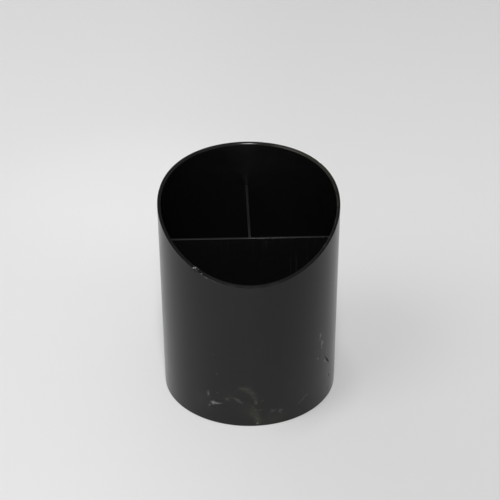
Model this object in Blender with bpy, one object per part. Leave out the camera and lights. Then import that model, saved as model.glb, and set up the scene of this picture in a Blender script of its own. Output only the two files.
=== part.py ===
"""Desk pencil cup: a plastic tube with a curved sloping rim, a floor disc and a T-shaped divider.

Metres, +Z up. The origin is the middle of the underside, and the low front of the rim faces -Y.
The four pieces are bonded together, so nothing moves.
"""

import math

import bmesh
import bpy
from mathutils import Vector

MM = 0.001

# Outer wall
OUTER_RADIUS = 54.0 * MM
WALL_THICKNESS = 2.05 * MM
FRONT_HEIGHT = 98.0 * MM
REAR_HEIGHT = 138.5 * MM
RIM_ARC_RADIUS = 245.0 * MM
RIM_INNER_ROUNDING = 0.8 * MM
FOOT_CHAMFER = 0.3 * MM

# Floor disc, which sits against a shoulder inside the foot of the wall
FLOOR_THICKNESS = 3.0 * MM
SEAT_DEPTH = 0.8 * MM
FLOOR_CHAMFER = 0.2 * MM

# Divider plates
PLATE_THICKNESS = 1.6 * MM
DIVIDER_TOP = 109.3 * MM
CROSS_DIVIDER_Y = -16.0 * MM
GROOVE_DEPTH = 1.0 * MM
PLATE_EDGE_ROUNDING = 0.25 * MM

# Clearance between touching pieces
JOINT_GAP = 0.3 * MM

WALL_SEGMENTS = 144
ROUNDING_STEPS = 4
SHARP_ANGLE = math.radians(35.0)

INNER_RADIUS = OUTER_RADIUS - WALL_THICKNESS
SEAT_RADIUS = INNER_RADIUS + SEAT_DEPTH
SHOULDER_HEIGHT = FLOOR_THICKNESS + JOINT_GAP
FLOOR_RADIUS = SEAT_RADIUS - JOINT_GAP
GROOVE_FLOOR = FLOOR_THICKNESS - GROOVE_DEPTH
PLATE_BOTTOM = GROOVE_FLOOR + JOINT_GAP
PLATE_REACH = INNER_RADIUS - JOINT_GAP


def clear_scene():
    for old in list(bpy.data.objects):
        bpy.data.objects.remove(old, do_unlink=True)


def plastic(name, color, roughness):
    """Black plastic with the given linear colour and roughness."""
    material = bpy.data.materials.new(name)
    material.use_nodes = True
    shader = material.node_tree.nodes["Principled BSDF"]
    shader.inputs["Base Color"].default_value = (*color, 1.0)
    shader.inputs["Roughness"].default_value = roughness
    shader.inputs["Metallic"].default_value = 0.0
    return material


def add_object(name, bm, material=None):
    """Turn a bmesh into a smooth-shaded object whose faces point out."""
    bmesh.ops.recalc_face_normals(bm, faces=bm.faces)
    mesh = bpy.data.meshes.new(name)
    bm.to_mesh(mesh)
    bm.free()
    mesh.shade_smooth()
    mesh.set_sharp_from_angle(angle=SHARP_ANGLE)
    if material:
        mesh.materials.append(material)
    piece = bpy.data.objects.new(name, mesh)
    bpy.context.collection.objects.link(piece)
    return piece


def round_edges(piece, width, segments):
    bevel = piece.modifiers.new("edge_rounding", "BEVEL")
    bevel.width = width
    bevel.segments = segments
    bevel.limit_method = "ANGLE"
    bevel.angle_limit = SHARP_ANGLE


def rim_arc_centre():
    """Centre (y, z) of the arc through the rim's front and rear points, with the arc above it."""
    front = Vector((-OUTER_RADIUS, FRONT_HEIGHT))
    rear = Vector((OUTER_RADIUS, REAR_HEIGHT))
    chord = rear - front
    below = Vector((chord.y, -chord.x)).normalized()
    distance = math.sqrt(RIM_ARC_RADIUS ** 2 - (chord.length / 2) ** 2)
    return (front + rear) / 2 + below * distance


RIM_CENTRE = rim_arc_centre()


def rim_height(y):
    """Height of the curved cut at a distance y behind the middle of the cup."""
    return RIM_CENTRE.y + math.sqrt(RIM_ARC_RADIUS ** 2 - (y - RIM_CENTRE.x) ** 2)


def rounded_inner_corner(angle):
    """Inner corner of the rim as (radius, height) points, from the top face down to the inner wall."""
    points = []
    for step in range(ROUNDING_STEPS + 1):
        turn = math.radians(90.0) * step / ROUNDING_STEPS
        r = INNER_RADIUS + RIM_INNER_ROUNDING * (1.0 - math.sin(turn))
        z = rim_height(r * math.sin(angle)) - RIM_INNER_ROUNDING * (1.0 - math.cos(turn))
        points.append((r, z))
    return points


def wall_section(angle):
    """Closed outline of the wall, as (radius, height) points, at one angle round the cup."""
    foot = [(SEAT_RADIUS, 0.0), (OUTER_RADIUS - FOOT_CHAMFER, 0.0), (OUTER_RADIUS, FOOT_CHAMFER)]
    sharp_outer_corner = [(OUTER_RADIUS, rim_height(OUTER_RADIUS * math.sin(angle)))]
    shoulder = [(INNER_RADIUS, SHOULDER_HEIGHT), (SEAT_RADIUS, SHOULDER_HEIGHT)]
    return foot + sharp_outer_corner + rounded_inner_corner(angle) + shoulder


def make_cup_wall():
    bm = bmesh.new()
    rings = []
    for segment in range(WALL_SEGMENTS):
        angle = 2.0 * math.pi * segment / WALL_SEGMENTS
        outline = wall_section(angle)
        rings.append([bm.verts.new((r * math.cos(angle), r * math.sin(angle), z)) for r, z in outline])
    for ring, next_ring in zip(rings, rings[1:] + rings[:1]):
        for start in range(len(ring)):
            end = (start + 1) % len(ring)
            bm.faces.new((ring[start], next_ring[start], next_ring[end], ring[end]))
    return add_object("cup_wall", bm, plastic("satin_black_wall", (0.010, 0.010, 0.010), 0.42))


def extrude_outline(name, outline, bottom, top, material=None):
    """Plate or cutter with the given (x, y) outline, standing from bottom to top."""
    bm = bmesh.new()
    base = bm.faces.new([bm.verts.new((x, y, bottom)) for x, y in outline])
    extruded = bmesh.ops.extrude_face_region(bm, geom=[base])
    lifted = [item for item in extruded["geom"] if isinstance(item, bmesh.types.BMVert)]
    bmesh.ops.translate(bm, verts=lifted, vec=(0.0, 0.0, top - bottom))
    return add_object(name, bm, material)


def reach_at(y):
    """Half the width between the plate ends inside the round wall, at a distance y."""
    return math.sqrt(PLATE_REACH ** 2 - y ** 2)


def cross_outline(grow=0.0):
    """Plan of the cross divider, with ends mitred to the wall, grown all round by a clearance."""
    front = CROSS_DIVIDER_Y - PLATE_THICKNESS / 2
    back = CROSS_DIVIDER_Y + PLATE_THICKNESS / 2
    front_reach = reach_at(front) + grow
    back_reach = reach_at(back) + grow
    front -= grow
    back += grow
    return [(-front_reach, front), (front_reach, front), (back_reach, back), (-back_reach, back)]


def rear_outline(grow=0.0):
    """Plan of the rear divider, from just behind the cross divider to the rear of the wall."""
    half = PLATE_THICKNESS / 2
    front = CROSS_DIVIDER_Y + half + JOINT_GAP
    back = reach_at(half) + grow
    return [(-half - grow, front), (half + grow, front), (half + grow, back), (-half - grow, back)]


def groove_outline():
    """T-shaped plan of the floor's locating grooves, a joint gap wider than the plates all round."""
    left_front, right_front, right_back, left_back = cross_outline(JOINT_GAP)
    stem = rear_outline(JOINT_GAP)
    stem_left = stem[0][0]
    stem_right = stem[1][0]
    stem_back = stem[2][1]
    arm_back = right_back[1]
    return [
        left_front,
        right_front,
        right_back,
        (stem_right, arm_back),
        (stem_right, stem_back),
        (stem_left, stem_back),
        (stem_left, arm_back),
        left_back,
    ]


def make_cup_floor():
    bm = bmesh.new()
    bmesh.ops.create_cone(
        bm,
        cap_ends=True,
        segments=WALL_SEGMENTS,
        radius1=FLOOR_RADIUS,
        radius2=FLOOR_RADIUS,
        depth=FLOOR_THICKNESS,
    )
    bmesh.ops.translate(bm, verts=bm.verts, vec=(0.0, 0.0, FLOOR_THICKNESS / 2))
    disc = add_object("cup_floor", bm, plastic("satin_black_floor", (0.011, 0.011, 0.011), 0.30))
    round_edges(disc, FLOOR_CHAMFER, 1)

    cutter = extrude_outline("groove_cutter", groove_outline(), GROOVE_FLOOR, FLOOR_THICKNESS + GROOVE_DEPTH)
    cutter.hide_render = True
    cutter.display_type = "WIRE"
    grooves = disc.modifiers.new("locating_grooves", "BOOLEAN")
    grooves.operation = "DIFFERENCE"
    grooves.object = cutter
    return disc


def make_cross_divider():
    material = plastic("gloss_black_cross", (0.008, 0.008, 0.008), 0.16)
    plate = extrude_outline("cross_divider", cross_outline(), PLATE_BOTTOM, DIVIDER_TOP, material)
    round_edges(plate, PLATE_EDGE_ROUNDING, 2)
    return plate


def make_rear_divider():
    material = plastic("gloss_black_rear", (0.009, 0.009, 0.009), 0.16)
    plate = extrude_outline("rear_divider", rear_outline(), PLATE_BOTTOM, DIVIDER_TOP, material)
    round_edges(plate, PLATE_EDGE_ROUNDING, 2)
    return plate


def main():
    clear_scene()
    make_cup_wall()
    make_cup_floor()
    make_cross_divider()
    make_rear_divider()


main()
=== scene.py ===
"""Looks of the desk pencil cup: satin black tube, gloss T-shaped divider, floor disc and a pale studio.

Metres, +Z up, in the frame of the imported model: the origin is the middle of the underside, and the
low front of the rim faces -Y. Marks on the wall are placed in millimetres on the unrolled wall.
"""

import math

import bmesh
import bpy
from mathutils import Matrix, Vector, noise


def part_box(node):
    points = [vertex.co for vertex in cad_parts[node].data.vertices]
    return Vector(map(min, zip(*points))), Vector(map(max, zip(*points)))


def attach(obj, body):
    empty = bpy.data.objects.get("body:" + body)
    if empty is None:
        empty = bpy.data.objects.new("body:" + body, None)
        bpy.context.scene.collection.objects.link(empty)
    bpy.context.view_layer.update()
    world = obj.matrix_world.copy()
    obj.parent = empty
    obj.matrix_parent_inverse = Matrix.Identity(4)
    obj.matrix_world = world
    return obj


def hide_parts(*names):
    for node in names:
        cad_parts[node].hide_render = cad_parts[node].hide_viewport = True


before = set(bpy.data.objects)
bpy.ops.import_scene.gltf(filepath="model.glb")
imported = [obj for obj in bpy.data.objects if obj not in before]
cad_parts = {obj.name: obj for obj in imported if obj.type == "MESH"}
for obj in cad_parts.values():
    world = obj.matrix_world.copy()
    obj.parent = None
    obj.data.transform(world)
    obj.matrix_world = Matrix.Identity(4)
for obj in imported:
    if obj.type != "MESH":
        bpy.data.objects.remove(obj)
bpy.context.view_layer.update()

MM = 0.001

# ---------------------------------------------------------------------------------------------
# Sizes: the outside comes from the frame, the rest repeats the design's driving dimensions
# ---------------------------------------------------------------------------------------------
_, wall_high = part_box("cup_wall")
_, floor_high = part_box("cup_floor")
cross_low, cross_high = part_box("cross_divider")

JOINT_GAP = 0.3 * MM

OUTER_RADIUS = wall_high.x
REAR_HEIGHT = wall_high.z
FRONT_HEIGHT = 98.0 * MM
RIM_ARC_RADIUS = 245.0 * MM
WALL_THICKNESS = 2.05 * MM
INNER_RADIUS = OUTER_RADIUS - WALL_THICKNESS
INNER_ROUNDING = 0.8 * MM
FOOT_CHAMFER = 0.3 * MM

FLOOR_TOP = floor_high.z
FLOOR_RADIUS = floor_high.x
FLOOR_CHAMFER = 0.2 * MM
SEAT_RADIUS = FLOOR_RADIUS + JOINT_GAP
SHOULDER_HEIGHT = FLOOR_TOP + JOINT_GAP

DIVIDER_TOP = cross_high.z
PLATE_FRONT = cross_low.y
PLATE_BACK = cross_high.y
PLATE_HALF = (PLATE_BACK - PLATE_FRONT) / 2
PLATE_ROUNDING = 0.25 * MM

# Fineness of the meshes
WALL_SEGMENTS = 900
FLOOR_SEGMENTS = 360
CORNER_STEPS = 5
PLATE_EDGE_SEGMENTS = 4
SHARP_ANGLE = math.radians(35.0)

# Specular levels of the plastics
PLASTIC_SPECULAR = 0.32
RIM_SPECULAR = 0.38
WALL_SPECULAR = 0.375


# ---------------------------------------------------------------------------------------------
# Node helper
# ---------------------------------------------------------------------------------------------
class Shader:
    """Builds one material's node tree. A value may be a number or another node's output."""

    def __init__(self, name, specular=PLASTIC_SPECULAR):
        self.material = bpy.data.materials.new(name)
        self.material.use_nodes = True
        self.tree = self.material.node_tree
        self.surface = self.tree.nodes["Principled BSDF"]
        self.surface.inputs["Specular IOR Level"].default_value = specular

    def put(self, socket, value):
        if isinstance(value, bpy.types.NodeSocket):
            self.tree.links.new(value, socket)
        else:
            socket.default_value = value

    def node(self, kind, **settings):
        made = self.tree.nodes.new(kind)
        for key, value in settings.items():
            setattr(made, key, value)
        return made

    def math(self, operation, a, b, clamp=False):
        made = self.node("ShaderNodeMath", operation=operation, use_clamp=clamp)
        self.put(made.inputs[0], a)
        self.put(made.inputs[1], b)
        return made.outputs[0]

    def add(self, a, b, clamp=False):
        return self.math("ADD", a, b, clamp)

    def subtract(self, a, b):
        return self.math("SUBTRACT", a, b)

    def times(self, a, b, clamp=False):
        return self.math("MULTIPLY", a, b, clamp)

    def vector_math(self, operation, a, b):
        made = self.node("ShaderNodeVectorMath", operation=operation)
        self.put(made.inputs[0], a)
        self.put(made.inputs[1], b)
        return made.outputs["Vector"]

    def length(self, vector):
        made = self.node("ShaderNodeVectorMath", operation="LENGTH")
        self.put(made.inputs[0], vector)
        return made.outputs["Value"]

    def position(self):
        return self.node("ShaderNodeTexCoord").outputs["Object"]

    def axes(self, vector):
        """The x, y and z of a vector."""
        made = self.node("ShaderNodeSeparateXYZ")
        self.put(made.inputs[0], vector)
        return made.outputs["X"], made.outputs["Y"], made.outputs["Z"]

    def from_axis(self, position):
        """Distance from the cup's upright axis."""
        return self.length(self.vector_math("MULTIPLY", position, (1.0, 1.0, 0.0)))

    def noise(self, vector, scale, detail=3.0, roughness=0.5, color=False):
        made = self.node("ShaderNodeTexNoise")
        self.put(made.inputs["Vector"], vector)
        made.inputs["Scale"].default_value = scale
        made.inputs["Detail"].default_value = detail
        made.inputs["Roughness"].default_value = roughness
        return made.outputs["Color" if color else "Fac"]

    def remap(self, value, low, high, to_low=0.0, to_high=1.0):
        """Smooth step from to_low, where the value is at low, to to_high, where it is at high."""
        made = self.node("ShaderNodeMapRange", interpolation_type="SMOOTHSTEP")
        self.put(made.inputs["Value"], value)
        made.inputs["From Min"].default_value = low
        made.inputs["From Max"].default_value = high
        made.inputs["To Min"].default_value = to_low
        made.inputs["To Max"].default_value = to_high
        return made.outputs[0]

    def streaks(self, vector, fine, long, turn, low, high):
        """Sparse thin lines: noise stretched along one direction and cut off between low and high."""
        stretched = self.node("ShaderNodeMapping")
        self.put(stretched.inputs["Vector"], vector)
        stretched.inputs["Rotation"].default_value = turn
        stretched.inputs["Scale"].default_value = (fine, long, long)
        return self.remap(self.noise(stretched.outputs[0], 1.0, detail=2.0), low, high)

    def mix(self, share, a, b):
        """Colour a turning into colour b as share goes from 0 to 1."""
        made = self.node("ShaderNodeMix", data_type="RGBA")
        self.put(made.inputs[0], share)
        self.put(made.inputs[6], a)  # 6 and 7 are the two colours of this node
        self.put(made.inputs[7], b)
        return made.outputs[2]

    def bump(self, height, distance):
        made = self.node("ShaderNodeBump")
        self.put(made.inputs["Height"], height)
        made.inputs["Distance"].default_value = distance
        return made.outputs[0]

    def finish(self, color, roughness, normal):
        self.put(self.surface.inputs["Base Color"], color)
        self.put(self.surface.inputs["Roughness"], roughness)
        self.put(self.surface.inputs["Normal"], normal)
        return self.material


def grey(value):
    return (value, value, value, 1.0)


def turned(degrees):
    """Rotation in the plane of the unrolled wall."""
    return (0.0, 0.0, math.radians(degrees))


# ---------------------------------------------------------------------------------------------
# Marks on the outside of the wall: (mm round from the front, mm up), half sizes in mm, turn in
# degrees, softness from 0 to 1, strength
# ---------------------------------------------------------------------------------------------
# Pale rubbed spots, which also roughen the wall, and one painted highlight under the rim at the left
SCUFFS_AND_HIGHLIGHT = (
    # Pale scuff low at the left, and the rubs round it
    ((-24.3, 14.6), (2.2, 1.9), 20.0, 0.85, 1.0),
    ((-21.9, 14.8), (2.0, 1.2), 5.0, 0.9, 0.75),
    ((-19.8, 15.1), (2.4, 0.8), 4.0, 1.0, 0.55),
    ((-26.6, 11.8), (1.9, 0.5), 55.0, 0.9, 0.7),
    ((-27.3, 20.5), (1.5, 3.5), 0.0, 1.0, 0.42),
    ((-20.9, 22.5), (1.8, 0.8), 10.0, 1.0, 0.16),
    # Fainter rubs low in the middle and to its right
    ((-8.4, 18.9), (5.6, 1.5), -33.0, 1.0, 0.25),
    ((-11.0, 12.6), (2.0, 1.3), 0.0, 1.0, 0.07),
    ((12.4, 10.2), (3.4, 2.0), 20.0, 1.0, 0.16),
    ((17.2, 9.6), (2.4, 2.0), 20.0, 1.0, 0.24),
    ((2.9, 2.3), (1.3, 1.1), 0.0, 1.0, 0.35),
    ((6.0, 18.9), (1.8, 0.9), 0.0, 1.0, 0.14),
    # Barely visible ones higher up
    ((23.8, 28.0), (2.0, 3.4), 0.0, 1.0, 0.05),
    ((20.5, 56.4), (0.9, 2.2), 0.0, 1.0, 0.06),
    ((-21.6, 36.4), (0.8, 2.0), 0.0, 1.0, 0.18),
    ((0.8, 95.5), (7.0, 1.6), 4.0, 1.0, 0.04),
    # Column of chips at the right
    ((47.5, 52.0), (1.7, 2.4), 0.0, 0.9, 0.60),
    ((46.9, 49.2), (1.3, 2.4), 0.0, 1.0, 0.35),
    ((49.3, 45.6), (2.1, 2.8), 0.0, 0.9, 0.70),
    ((49.0, 42.5), (1.5, 2.4), 0.0, 1.0, 0.35),
    ((45.2, 36.2), (1.4, 1.4), 0.0, 0.9, 0.50),
    ((53.3, 30.1), (1.9, 1.7), 0.0, 0.9, 0.55),
    # Just under the rim at the left: first a painted highlight, the long faint line where the outer
    # corner catches light, then two rubs
    ((-43.0, 107.7), (7.5, 0.9), -22.0, 1.0, 0.10),
    ((-26.8, 101.8), (2.4, 0.8), -17.0, 0.9, 0.32),
    ((-21.4, 100.4), (6.0, 0.9), -13.0, 1.0, 0.12),
)
# Thin pale line low at the right, with a dot at its end
FINE_LINES = (
    ((32.6, 12.3), (6.0, 0.35), 39.0, 0.8, 0.40),
    ((35.4, 13.9), (0.9, 0.7), 39.0, 0.9, 0.35),
)
# Chips that show on the rim and on the wall just below it
RIM_CHIPS = (
    ((-34.6, 105.6), (1.0, 0.8), -20.0, 0.8, 0.75),
    ((-32.8, 105.1), (1.0, 0.5), -20.0, 0.9, 0.35),
)
# Scratches and pits, which are dark and sunk
GROOVES = (
    # Long dark scratch at the right, dark cores of two chips above it, and two pits below it
    ((56.2, 29.2), (1.0, 7.3), 38.5, 0.7, 0.72),
    ((47.2, 46.4), (0.7, 0.9), 0.0, 1.0, 0.6),
    ((47.0, 37.0), (0.9, 1.0), 0.0, 1.0, 0.5),
    ((59.9, 15.3), (1.3, 1.2), 0.0, 1.0, 0.6),
    ((59.5, 5.2), (1.2, 1.0), 0.0, 1.0, 0.5),
    # Pits beside the pale scuff, and a short upright scratch above it
    ((-23.0, 11.4), (1.1, 0.8), 0.0, 1.0, 0.9),
    ((-25.1, 11.5), (1.1, 0.8), 0.0, 1.0, 0.8),
    ((-19.3, 17.5), (1.1, 0.8), 0.0, 1.0, 0.8),
    ((-22.0, 47.0), (0.6, 3.0), 0.0, 1.0, 0.35),
)
# Dried smears and dust, which tint the wall but don't roughen it
STAINS = (
    # Hooked smear low in the middle, from its upper left end to its tail
    ((-6.4, 28.0), (5.0, 2.6), 6.0, 1.0, 0.32),
    ((-2.6, 27.0), (4.8, 4.0), -30.0, 1.0, 0.35),
    ((0.2, 23.8), (5.0, 3.4), -55.0, 1.0, 0.34),
    ((1.7, 20.6), (3.4, 2.4), -65.0, 1.0, 0.25),
    ((2.1, 17.6), (1.6, 2.9), 0.0, 0.9, 0.60),
    ((0.5, 14.3), (0.9, 2.6), 35.0, 0.9, 0.30),
    ((4.8, 12.0), (3.9, 0.8), -6.0, 0.9, 0.30),
    # Spot at the left, and the blot between the smear and the foot
    ((-14.9, 19.3), (2.4, 2.0), 0.0, 1.0, 0.50),
    ((1.6, 9.4), (4.6, 6.2), 15.0, 1.0, 0.34),
    ((3.2, 4.2), (3.8, 5.6), 8.0, 1.0, 0.38),
    ((3.2, 2.0), (1.6, 1.3), 0.0, 1.0, 0.40),
    # Broad faint haze of dust round the marks
    ((-31.0, 14.0), (13.0, 9.0), -20.0, 1.0, 0.12),
    ((-2.0, 12.0), (8.0, 9.0), 0.0, 1.0, 0.13),
    ((13.0, 4.0), (15.0, 7.0), 10.0, 1.0, 0.16),
    ((-13.0, 20.0), (9.0, 7.0), 0.0, 1.0, 0.10),
)


def marks(s, unrolled, table, broken=1.0):
    """Strength, from 0 to 1, of the marks in a table, each an oval on the unrolled wall."""
    total = 0.0
    for (across, up), half_size, turn, softness, strength in table:
        placed = s.node("ShaderNodeMapping", vector_type="TEXTURE")
        s.put(placed.inputs["Vector"], unrolled)
        placed.inputs["Location"].default_value = (across, up, 0.0)
        placed.inputs["Rotation"].default_value = turned(turn)
        placed.inputs["Scale"].default_value = (*half_size, 1.0)
        mark = s.remap(s.length(placed.outputs[0]), 1.0, 1.0 - softness, 0.0, strength)
        total = s.add(total, mark)
    return s.times(total, broken, clamp=True)


def unrolled_wall(s, ragged):
    """The wall laid flat: mm round from the front, mm up, with an uneven shift that roughens edges."""
    position = s.position()
    x, y, z = s.axes(position)
    angle = s.math("ARCTAN2", x, s.times(y, -1.0))
    flat = s.node("ShaderNodeCombineXYZ")
    s.put(flat.inputs["X"], s.times(angle, OUTER_RADIUS / MM))
    s.put(flat.inputs["Y"], s.times(z, 1.0 / MM))
    jitter = s.vector_math("SUBTRACT", s.noise(position, 900.0, color=True), (0.5, 0.5, 0.5))
    shift = s.vector_math("MULTIPLY", jitter, (ragged, ragged, 0.0))
    return s.vector_math("ADD", flat.outputs[0], shift)


# ---------------------------------------------------------------------------------------------
# Materials: each mixes its colour from a base tone and what lies on it, then its roughness and
# a fine relief. Noise scales are waves per metre, and streaks on the wall are waves per mm.
# ---------------------------------------------------------------------------------------------
SCUFF_AND_HIGHLIGHT_TONE = grey(0.16)
SPECK_TONE = grey(0.20)
CHIP_TONE = grey(0.20)
RUB_TONE = grey(0.08)
STAIN_TONE = (0.054, 0.053, 0.036, 1.0)
WORN_RIM_TONE = (0.024, 0.022, 0.0175, 1.0)
SCRAPED_RIM_TONE = (0.022, 0.020, 0.015, 1.0)
GRAPHITE_TONE = (0.05, 0.055, 0.07, 1.0)


def satin_wall():
    """Outside of the tube: satin black plastic with fine grain, handling marks, old scuffs and one
    painted highlight under the rim.
    """
    s = Shader("satin_black_wall", WALL_SPECULAR)
    position = s.position()
    unrolled = unrolled_wall(s, ragged=1.6)

    clouds = s.noise(position, 38.0, detail=4.0, roughness=0.6)
    grain = s.noise(position, 2600.0, detail=2.0)
    peel = s.noise(position, 260.0, detail=2.0)
    rubbed = s.streaks(unrolled, 2.2, 0.05, turned(80.0), 0.66, 0.80)
    upright = s.streaks(unrolled, 2.6, 0.04, turned(4.0), 0.68, 0.82)
    scratches = s.math("MAXIMUM", rubbed, upright)
    specks = s.remap(s.noise(position, 700.0, detail=1.0), 0.77, 0.84)

    broken = s.remap(s.noise(position, 1100.0), 0.34, 0.60, 0.35, 1.0)
    # Scuffs, fine lines and chips, and one painted highlight along the rim at the left
    scuffed_and_highlight = marks(s, unrolled, SCUFFS_AND_HIGHLIGHT + FINE_LINES + RIM_CHIPS, broken)
    stained = marks(s, unrolled, STAINS, broken)
    grooved = marks(s, unrolled, GROOVES)

    base = s.mix(clouds, grey(0.0010), grey(0.0026))
    base = s.mix(s.times(scratches, 0.07), base, grey(0.10))
    base = s.mix(s.times(specks, 0.06), base, SPECK_TONE)
    base = s.mix(stained, base, STAIN_TONE)
    base = s.mix(scuffed_and_highlight, base, SCUFF_AND_HIGHLIGHT_TONE)
    base = s.mix(grooved, base, grey(0.001))

    rough = s.remap(clouds, 0.3, 0.7, 0.20, 0.25)
    rough = s.add(rough, s.times(scuffed_and_highlight, 0.25))
    rough = s.add(rough, s.times(scratches, 0.06))
    rough = s.add(rough, s.times(grooved, 0.7), clamp=True)

    height = s.add(s.times(grain, 0.25), peel)
    height = s.subtract(height, s.times(grooved, 3.0))
    height = s.subtract(height, s.times(scratches, 0.4))
    return s.finish(base, rough, s.bump(height, 0.013 * MM))


def cut_rim():
    """Cut face of the rim: smooth and black, lightly worn towards the rear right, with two chips."""
    s = Shader("cut_rim", RIM_SPECULAR)
    position = s.position()
    x, y, _ = s.axes(position)
    grain = s.noise(position, 600.0)
    clouds = s.noise(position, 120.0)
    base = s.mix(grain, grey(0.0015), grey(0.0045))

    patchy = s.remap(s.noise(position, 45.0, detail=4.0), 0.38, 0.60, 0.35, 1.0)
    towards_back = s.remap(y, -5.0 * MM, 25.0 * MM)
    towards_right = s.remap(x, 5.0 * MM, 30.0 * MM, 0.25, 1.0)
    worn = s.times(patchy, s.times(towards_back, towards_right))
    base = s.mix(worn, base, WORN_RIM_TONE)

    inner_half = s.remap(s.from_axis(position), OUTER_RADIUS - 0.7 * MM, OUTER_RADIUS - 1.4 * MM)
    right_side = s.remap(x, 25.0 * MM, 45.0 * MM)
    flecks = s.remap(s.noise(position, 220.0), 0.40, 0.60, 0.2, 1.0)
    scraped = s.times(flecks, s.times(inner_half, right_side))
    base = s.mix(scraped, base, SCRAPED_RIM_TONE)

    chips = marks(s, unrolled_wall(s, ragged=0.4), RIM_CHIPS)
    base = s.mix(chips, base, CHIP_TONE)
    rough = s.remap(clouds, 0.3, 0.7, 0.12, 0.17)
    return s.finish(base, rough, s.bump(grain, 0.02 * MM))


def gloss_inside():
    """Inside of the tube: glossy black with fine upright rub marks from pens."""
    s = Shader("gloss_inside")
    position = s.position()
    unrolled = unrolled_wall(s, ragged=0.3)
    clouds = s.noise(position, 60.0, detail=4.0)
    rubs = s.streaks(unrolled, 1.8, 0.03, turned(3.0), 0.70, 0.86)
    crossing = s.streaks(unrolled, 2.4, 0.05, turned(-14.0), 0.74, 0.88)
    scratches = s.math("MAXIMUM", rubs, crossing)

    base = s.mix(s.times(scratches, 0.03), grey(0.004), RUB_TONE)
    rough = s.add(s.remap(clouds, 0.3, 0.7, 0.15, 0.24), s.times(scratches, 0.08))
    height = s.subtract(s.noise(position, 200.0), s.times(scratches, 0.3))
    return s.finish(base, rough, s.bump(height, 0.015 * MM))


def gloss_divider(name, shift):
    """Divider plates: glossy black with upright pen rubs, and a worn top edge, dullest at the left."""
    s = Shader(name)
    position = s.position()
    x, _, z = s.axes(position)
    moved = s.vector_math("ADD", position, (shift, shift * 0.7, shift * 0.3))
    clouds = s.noise(moved, 55.0, detail=4.0)
    rubs = s.streaks(moved, 1600.0, 30.0, (0.0, math.radians(90.0), 0.0), 0.62, 0.78)
    edge = s.remap(z, DIVIDER_TOP - 0.5 * MM, DIVIDER_TOP - 0.05 * MM)
    worn = s.times(edge, s.remap(s.noise(moved, 320.0), 0.35, 0.65, 0.35, 1.0))
    dull = s.times(edge, s.remap(x, -12.0 * MM, 8.0 * MM, 0.30, 0.0))

    base = s.mix(s.times(rubs, 0.10), grey(0.0045), RUB_TONE)
    base = s.mix(worn, base, grey(0.006))
    rough = s.add(s.remap(clouds, 0.3, 0.7, 0.13, 0.21), s.times(worn, 0.12))
    rough = s.add(rough, dull)
    height = s.subtract(s.noise(moved, 150.0), s.times(rubs, 0.3))
    return s.finish(base, rough, s.bump(height, 0.015 * MM))


def floor_plastic():
    """Floor of the compartments: black plastic dulled by dust, graphite and pen tips."""
    s = Shader("floor_plastic")
    position = s.position()
    dust = s.remap(s.noise(position, 90.0, detail=5.0, roughness=0.65), 0.40, 0.72)
    dots = s.remap(s.noise(position, 520.0, detail=1.0), 0.70, 0.76)
    base = s.mix(s.times(dust, 0.35), grey(0.007), grey(0.045))
    base = s.mix(s.times(dots, 0.5), base, GRAPHITE_TONE)
    rough = s.remap(dust, 0.0, 1.0, 0.28, 0.50)
    return s.finish(base, rough, s.bump(s.noise(position, 400.0), 0.02 * MM))


def bond_bead():
    """Thin beads where the plates meet the wall and the floor: glossy and slightly uneven."""
    s = Shader("bond_bead")
    waves = s.noise(s.position(), 500.0, detail=2.0)
    base = s.mix(waves, grey(0.005), grey(0.010))
    rough = s.remap(waves, 0.3, 0.7, 0.12, 0.28)
    return s.finish(base, rough, s.bump(waves, 0.03 * MM))


# ---------------------------------------------------------------------------------------------
# Mesh helpers
# ---------------------------------------------------------------------------------------------
def new_object(name, bm, materials):
    """Turn a bmesh into a smooth-shaded object whose faces point out."""
    bmesh.ops.recalc_face_normals(bm, faces=bm.faces)
    mesh = bpy.data.meshes.new(name)
    bm.to_mesh(mesh)
    bm.free()
    mesh.shade_smooth()
    mesh.set_sharp_from_angle(angle=SHARP_ANGLE)
    for material in materials:
        mesh.materials.append(material)
    piece = bpy.data.objects.new(name, mesh)
    bpy.context.scene.collection.objects.link(piece)
    return piece


def bevel_edges(piece, width, segments=1):
    bevel = piece.modifiers.new("edge", "BEVEL")
    bevel.width = width
    bevel.segments = segments
    bevel.limit_method = "ANGLE"


def keep(piece, slot, *nodes):
    """The piece rides with the cup and stands for the CAD nodes named, which it hides; its slot is not
    used.
    """
    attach(piece, "root")
    if nodes:
        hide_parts(*nodes)


# ---------------------------------------------------------------------------------------------
# Wall
# ---------------------------------------------------------------------------------------------
OUTSIDE, RIM, INSIDE = 0, 1, 2

# Rings of points below the rim, in mm. Two close ones inside hold the shading of the corner.
OUTSIDE_RINGS = (0.8, 1.6, 3.0, 6.0, 12.0, 30.0)
INSIDE_RINGS = (0.0, 0.04, *OUTSIDE_RINGS)

# Rings across the flat of the rim, as shares of its width from the outer corner
RIM_RINGS = (0.25, 0.5, 0.75, 0.97)

# Nicks in the rim's outer corner: mm round from the front, half length and depth in mm
NICKS = (
    (-34.2, 1.5, 0.42),
    (-29.5, 0.7, 0.16),
    (61.0, 0.8, 0.18),
    (118.0, 0.9, 0.22),
    (-96.0, 0.7, 0.18),
)
NICK_WAVES = 2.3     # unevenness of a nick's bottom, in waves per mm
NICK_INWARDS = 0.6   # how far a nick cuts in for each mm that it cuts down
NICK_FADE = 1.6      # a nick has run out at 1 / 1.6 of the rim's width


def rim_arc_centre():
    """Centre (y, z) of the arc through the rim's front and rear points, with the arc above it."""
    front = Vector((-OUTER_RADIUS, FRONT_HEIGHT))
    rear = Vector((OUTER_RADIUS, REAR_HEIGHT))
    chord = rear - front
    below = Vector((chord.y, -chord.x)).normalized()
    distance = math.sqrt(RIM_ARC_RADIUS ** 2 - (chord.length / 2) ** 2)
    return (front + rear) / 2 + below * distance


RIM_CENTRE = rim_arc_centre()


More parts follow.
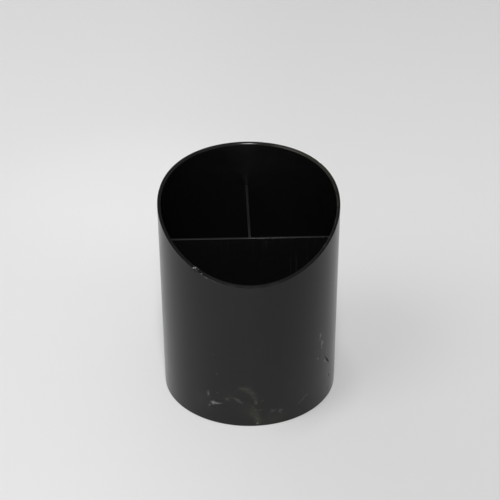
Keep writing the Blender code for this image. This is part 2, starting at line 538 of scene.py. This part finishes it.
def rim_height(y):
    """Height of the curved cut at a distance y behind the middle of the cup."""
    return RIM_CENTRE.y + math.sqrt(RIM_ARC_RADIUS ** 2 - (y - RIM_CENTRE.x) ** 2)


def nick_depth(angle):
    """How deep the rim's outer corner is nicked at one angle round the cup."""
    along = angle * OUTER_RADIUS / MM
    depth = 0.0
    for middle, half_length, deep in NICKS:
        share = max(0.0, 1.0 - ((along - middle) / half_length) ** 2)
        uneven = 0.75 + 0.5 * noise.noise(Vector((along * NICK_WAVES, middle, 0.0)))
        depth = max(depth, deep * MM * math.sqrt(share) * uneven)
    return depth


def rounded_inner_corner(y_share):
    """Inner corner of the rim as (radius, height) points, down to just above the inner wall."""
    points = []
    for step in range(CORNER_STEPS):
        turn = math.radians(90.0) * step / CORNER_STEPS
        r = INNER_RADIUS + INNER_ROUNDING * (1.0 - math.sin(turn))
        z = rim_height(r * y_share) - INNER_ROUNDING * (1.0 - math.cos(turn))
        points.append((r, z))
    return points


def wall_outline(angle):
    """Closed outline of the wall at one angle round the cup.

    Each point is a radius, a height and the material of the face that starts there.
    """
    y_share = -math.cos(angle)
    outer_top = rim_height(OUTER_RADIUS * y_share)
    inner_top = rim_height(INNER_RADIUS * y_share) - INNER_ROUNDING
    points = [(SEAT_RADIUS, 0.0, OUTSIDE), (OUTER_RADIUS - FOOT_CHAMFER, 0.0, OUTSIDE)]
    points.append((OUTER_RADIUS, FOOT_CHAMFER, OUTSIDE))
    for below in reversed(OUTSIDE_RINGS):
        points.append((OUTER_RADIUS, outer_top - below * MM, OUTSIDE))

    nick = nick_depth(angle)
    points.append((OUTER_RADIUS - nick * NICK_INWARDS, outer_top - nick, RIM))
    flat_width = OUTER_RADIUS - INNER_RADIUS - INNER_ROUNDING
    for share in RIM_RINGS:
        r = OUTER_RADIUS - flat_width * share
        dip = nick * max(0.0, 1.0 - share * NICK_FADE)
        points.append((r, rim_height(r * y_share) - dip, RIM))
    for r, z in rounded_inner_corner(y_share):
        points.append((r, z, RIM))

    for below in INSIDE_RINGS:
        points.append((INNER_RADIUS, inner_top - below * MM, INSIDE))
    points.append((INNER_RADIUS, SHOULDER_HEIGHT, INSIDE))
    points.append((SEAT_RADIUS, SHOULDER_HEIGHT, INSIDE))
    return points


def make_wall():
    bm = bmesh.new()
    rings = []
    for segment in range(WALL_SEGMENTS):
        angle = 2.0 * math.pi * segment / WALL_SEGMENTS - math.pi
        outline = wall_outline(angle)
        ring = [bm.verts.new((r * math.sin(angle), -r * math.cos(angle), z)) for r, z, _ in outline]
        rings.append(ring)
    kinds = [kind for _, _, kind in outline]
    for ring, following in zip(rings, rings[1:] + rings[:1]):
        for start, kind in enumerate(kinds):
            end = (start + 1) % len(kinds)
            face = bm.faces.new((ring[start], following[start], following[end], ring[end]))
            face.material_index = kind
    wall = new_object("outer_wall", bm, [satin_wall(), cut_rim(), gloss_inside()])
    keep(wall, "wall", "cup_wall")


# ---------------------------------------------------------------------------------------------
# Floor and divider plates
# ---------------------------------------------------------------------------------------------
def make_floor():
    bm = bmesh.new()
    bmesh.ops.create_cone(
        bm,
        cap_ends=True,
        segments=FLOOR_SEGMENTS,
        radius1=FLOOR_RADIUS,
        radius2=FLOOR_RADIUS,
        depth=FLOOR_TOP,
    )
    bmesh.ops.translate(bm, verts=bm.verts, vec=(0.0, 0.0, FLOOR_TOP / 2))
    disc = new_object("floor_disc", bm, [floor_plastic()])
    bevel_edges(disc, FLOOR_CHAMFER)
    keep(disc, "floor", "cup_floor")


def make_plate(name, outline, node, material):
    """Plate standing on the floor, with the given (x, y) outline and rounded edges."""
    bm = bmesh.new()
    base = bm.faces.new([bm.verts.new((x, y, FLOOR_TOP)) for x, y in outline])
    raised = bmesh.ops.extrude_face_region(bm, geom=[base])
    lifted = [item for item in raised["geom"] if isinstance(item, bmesh.types.BMVert)]
    bmesh.ops.translate(bm, verts=lifted, vec=(0.0, 0.0, DIVIDER_TOP - FLOOR_TOP))
    plate = new_object(name, bm, [material])
    bevel_edges(plate, PLATE_ROUNDING, PLATE_EDGE_SEGMENTS)
    keep(plate, "divider", node)


def reach(y):
    """Half the width inside the round wall at a distance y."""
    return math.sqrt(INNER_RADIUS ** 2 - y ** 2)


def make_plates():
    front_reach = reach(PLATE_FRONT)
    back_reach = reach(PLATE_BACK)
    cross = [(-front_reach, PLATE_FRONT), (front_reach, PLATE_FRONT)]
    cross += [(back_reach, PLATE_BACK), (-back_reach, PLATE_BACK)]
    make_plate("cross_plate", cross, "cross_divider", gloss_divider("gloss_cross", 0.0))

    rear_end = reach(PLATE_HALF)
    rear = [(-PLATE_HALF, PLATE_BACK), (PLATE_HALF, PLATE_BACK)]
    rear += [(PLATE_HALF, rear_end), (-PLATE_HALF, rear_end)]
    make_plate("rear_plate", rear, "rear_divider", gloss_divider("gloss_rear", 0.37))


# ---------------------------------------------------------------------------------------------
# Bond beads, which are a little uneven and narrow to both ends
# ---------------------------------------------------------------------------------------------
BEAD_SIZE = 0.9 * MM
BEAD_STEPS = 5
BEAD_TOP_GAP = 0.3 * MM

UPRIGHT_RINGS = 60
FLOOR_RINGS = 30

BEAD_WOBBLE = 0.25     # how much the size varies along a bead, as a share of it
BEAD_WAVES = 300.0     # how fast it varies, in waves per metre
BEAD_END = 0.35        # size of a bead's end, as a share of its middle
BEAD_GROWTH = 0.375    # what each ring gains on the one before it, near the ends


def bead_section(size):
    """Concave corner bead as (along first face, along second face) points, closed in the corner."""
    points = [(0.0, 0.0)]
    for step in range(BEAD_STEPS + 1):
        turn = math.radians(90.0) * step / BEAD_STEPS
        points.append((size * (1.0 - math.sin(turn)), size * (1.0 - math.cos(turn))))
    return points


def add_bead(bm, start, end, first, second, steps):
    """Bead along a straight corner from start to end, between faces in directions first and second."""
    rings = []
    for step in range(steps + 1):
        place = start.lerp(end, step / steps)
        wobble = 1.0 + BEAD_WOBBLE * noise.noise(place * BEAD_WAVES)
        taper = min(1.0, BEAD_END + BEAD_GROWTH * min(step, steps - step))
        section = bead_section(BEAD_SIZE * wobble * taper)
        rings.append([bm.verts.new(place + first * a + second * b) for a, b in section])
    for ring, following in zip(rings, rings[1:]):
        for here in range(len(ring)):
            there = (here + 1) % len(ring)
            bm.faces.new((ring[here], following[here], following[there], ring[there]))
    bm.faces.new(rings[0])
    bm.faces.new(rings[-1])


def make_beads():
    """Beads up the corners where plates meet the wall and each other, and along the floor."""
    bm = bmesh.new()
    up = Vector((0.0, 0.0, 1.0))
    backwards = Vector((0.0, 1.0, 0.0))
    bottom = Vector((0.0, 0.0, FLOOR_TOP))
    top = Vector((0.0, 0.0, DIVIDER_TOP - BEAD_TOP_GAP))
    for side in (-1.0, 1.0):
        outwards = Vector((side, 0.0, 0.0))
        for y, facing in ((PLATE_FRONT, -1.0), (PLATE_BACK, 1.0)):
            at_wall = Vector((side * reach(y), y, 0.0))
            round_wall = Vector((-side * y, reach(y), 0.0)).normalized() * facing
            add_bead(bm, at_wall + bottom, at_wall + top, -outwards, round_wall, UPRIGHT_RINGS)
            inner_end = Vector((0.0 if facing < 0 else side * PLATE_HALF, y, 0.0))
            add_bead(bm, inner_end + bottom, at_wall + bottom, up, backwards * facing, FLOOR_RINGS)
        at_cross = Vector((side * PLATE_HALF, PLATE_BACK, 0.0))
        at_rear = Vector((side * PLATE_HALF, reach(PLATE_HALF), 0.0))
        add_bead(bm, at_cross + bottom, at_cross + top, outwards, backwards, UPRIGHT_RINGS)
        add_bead(bm, at_rear + bottom, at_rear + top, outwards, -backwards, UPRIGHT_RINGS)
        add_bead(bm, at_cross + bottom, at_rear + bottom, up, outwards, FLOOR_RINGS)
    beads = new_object("bond_beads", bm, [bond_bead()])
    keep(beads, "divider")


# ---------------------------------------------------------------------------------------------
# Studio: round sweep, lights, camera
# ---------------------------------------------------------------------------------------------
SWEEP_RADIUS = 1.7
SWEEP_CURVE = 0.7
SWEEP_HEIGHT = 0.9
SWEEP_FIRST_RING = 0.4
SWEEP_CURVE_STEPS = 12
SWEEP_SEGMENTS = 96
MERGE_DISTANCE = 1e-5

# Painted light and shade on the paper: middle of a painted pool of light, and width of a painted shadow
# by the foot
PAINTED_LIGHT_PATCH = (-0.085, 0.26, 0.0)
SHADE_WIDTH = 22.0 * MM

LIGHT_AIM = Vector((0.0, 0.0, 0.05))
WORLD_STRENGTH = 0.235

CAMERA_TARGET = Vector((0.0, 0.0, 91.7 * MM))
CAMERA_DISTANCE = 722.9 * MM
CAMERA_ELEVATION = math.radians(30.2)
CAMERA_TURN = math.radians(1.58)
CAMERA_ROLL = math.radians(-0.305)
CAMERA_LENS = 86.14
CAMERA_SENSOR = 36.0
CAMERA_SHIFT = 0.002
CAMERA_CLIP_START = 0.01


def paper():
    """Pale paper with painted light and shade: lighter at the left and towards the back, a painted pool
    of light behind the cup at the left, a painted shadow by the foot at the right, and painted shade
    that turns it grey up the wall of the sweep.
    """
    s = Shader("pale_paper")
    position = s.position()
    x, y, z = s.axes(position)
    fibres = s.noise(position, 700.0)

    # Painted light and shade: the paper is lighter to the left and towards the back and darker to the
    # front right, as the light falls
    across = s.add(x, s.times(s.noise(position, 3.0), 0.05))
    across = s.remap(across, -0.10, 0.13)
    near_painted_light = s.mix(across, grey(0.855), grey(0.73))
    far_painted_light = s.mix(across, grey(0.92), grey(0.87))
    base = s.mix(s.remap(y, -0.20, 0.30), near_painted_light, far_painted_light)

    # Painted pool of light on the paper behind the cup at the left
    from_painted_light = s.length(s.vector_math("SUBTRACT", position, PAINTED_LIGHT_PATCH))
    base = s.mix(s.remap(from_painted_light, 0.17, 0.03, 0.0, 0.85), base, grey(0.97))
    # Painted shadow: the paper darkens in a band round the foot on the right
    painted_shadow_by_foot = s.remap(s.from_axis(position), OUTER_RADIUS + SHADE_WIDTH, OUTER_RADIUS)
    painted_shadow_to_right = s.remap(x, 0.0, 40.0 * MM, 0.0, 0.29)
    base = s.mix(s.times(painted_shadow_by_foot, painted_shadow_to_right), base, grey(0.50))
    # Painted shade: the paper turns grey up the wall of the sweep, standing in for dim surroundings
    base = s.mix(s.remap(z, 0.0, 0.5), base, grey(0.35))

    rough = s.remap(fibres, 0.3, 0.7, 0.55, 0.65)
    return s.finish(base, rough, s.bump(fibres, 0.01 * MM))


def make_sweep():
    """Round studio floor that curves up into a wall on every side."""
    profile = [(0.0, 0.0), (SWEEP_FIRST_RING, 0.0)]
    for step in range(SWEEP_CURVE_STEPS + 1):
        turn = math.radians(90.0) * step / SWEEP_CURVE_STEPS
        r = SWEEP_RADIUS - SWEEP_CURVE + SWEEP_CURVE * math.sin(turn)
        profile.append((r, SWEEP_CURVE * (1.0 - math.cos(turn))))
    profile.append((SWEEP_RADIUS, SWEEP_HEIGHT))

    bm = bmesh.new()
    chain = [bm.verts.new((r, 0.0, z)) for r, z in profile]
    edges = [bm.edges.new(pair) for pair in zip(chain, chain[1:])]
    bmesh.ops.spin(
        bm,
        geom=chain + edges,
        cent=(0.0, 0.0, 0.0),
        axis=(0.0, 0.0, 1.0),
        angle=2.0 * math.pi,
        steps=SWEEP_SEGMENTS,
        use_merge=True,
    )
    bmesh.ops.remove_doubles(bm, verts=bm.verts, dist=MERGE_DISTANCE)
    sweep = new_object("studio_sweep", bm, [paper()])


def add_area_light(name, place, size, power):
    """Rectangular light at a place, aimed at the cup."""
    data = bpy.data.lights.new(name, "AREA")
    data.shape = "RECTANGLE"
    data.size, data.size_y = size
    data.energy = power
    light = bpy.data.objects.new(name, data)
    light.location = place
    light.rotation_euler = (LIGHT_AIM - Vector(place)).to_track_quat("-Z", "Y").to_euler()
    bpy.context.scene.collection.objects.link(light)


def make_lights():
    add_area_light("front", place=(-0.03, -2.4, 3.25), size=(0.64, 2.8), power=118.0)
    add_area_light("side", place=(-1.3, -0.75, 1.9), size=(1.1, 1.1), power=8.8)
    world = bpy.data.worlds.new("studio")
    world.use_nodes = True
    background = world.node_tree.nodes["Background"]
    background.inputs["Color"].default_value = grey(1.0)
    background.inputs["Strength"].default_value = WORLD_STRENGTH
    bpy.context.scene.world = world


def make_camera():
    data = bpy.data.cameras.new("camera")
    data.lens = CAMERA_LENS
    data.sensor_width = CAMERA_SENSOR
    data.shift_x = CAMERA_SHIFT
    data.clip_start = CAMERA_CLIP_START
    camera = bpy.data.objects.new("camera", data)
    level = math.cos(CAMERA_ELEVATION)
    rise = math.sin(CAMERA_ELEVATION)
    back = Vector((-level * math.sin(CAMERA_TURN), -level * math.cos(CAMERA_TURN), rise))
    looking = (-back).to_track_quat("-Z", "Y").to_matrix().to_4x4()
    place = Matrix.Translation(CAMERA_TARGET + back * CAMERA_DISTANCE)
    camera.matrix_world = place @ looking @ Matrix.Rotation(CAMERA_ROLL, 4, "Z")
    bpy.context.scene.collection.objects.link(camera)
    bpy.context.scene.camera = camera


def main():
    make_wall()
    make_floor()
    make_plates()
    make_beads()
    make_sweep()
    make_lights()
    make_camera()
    bpy.context.scene.view_settings.view_transform = "Standard"


main()

bpy.context.view_layer.update()
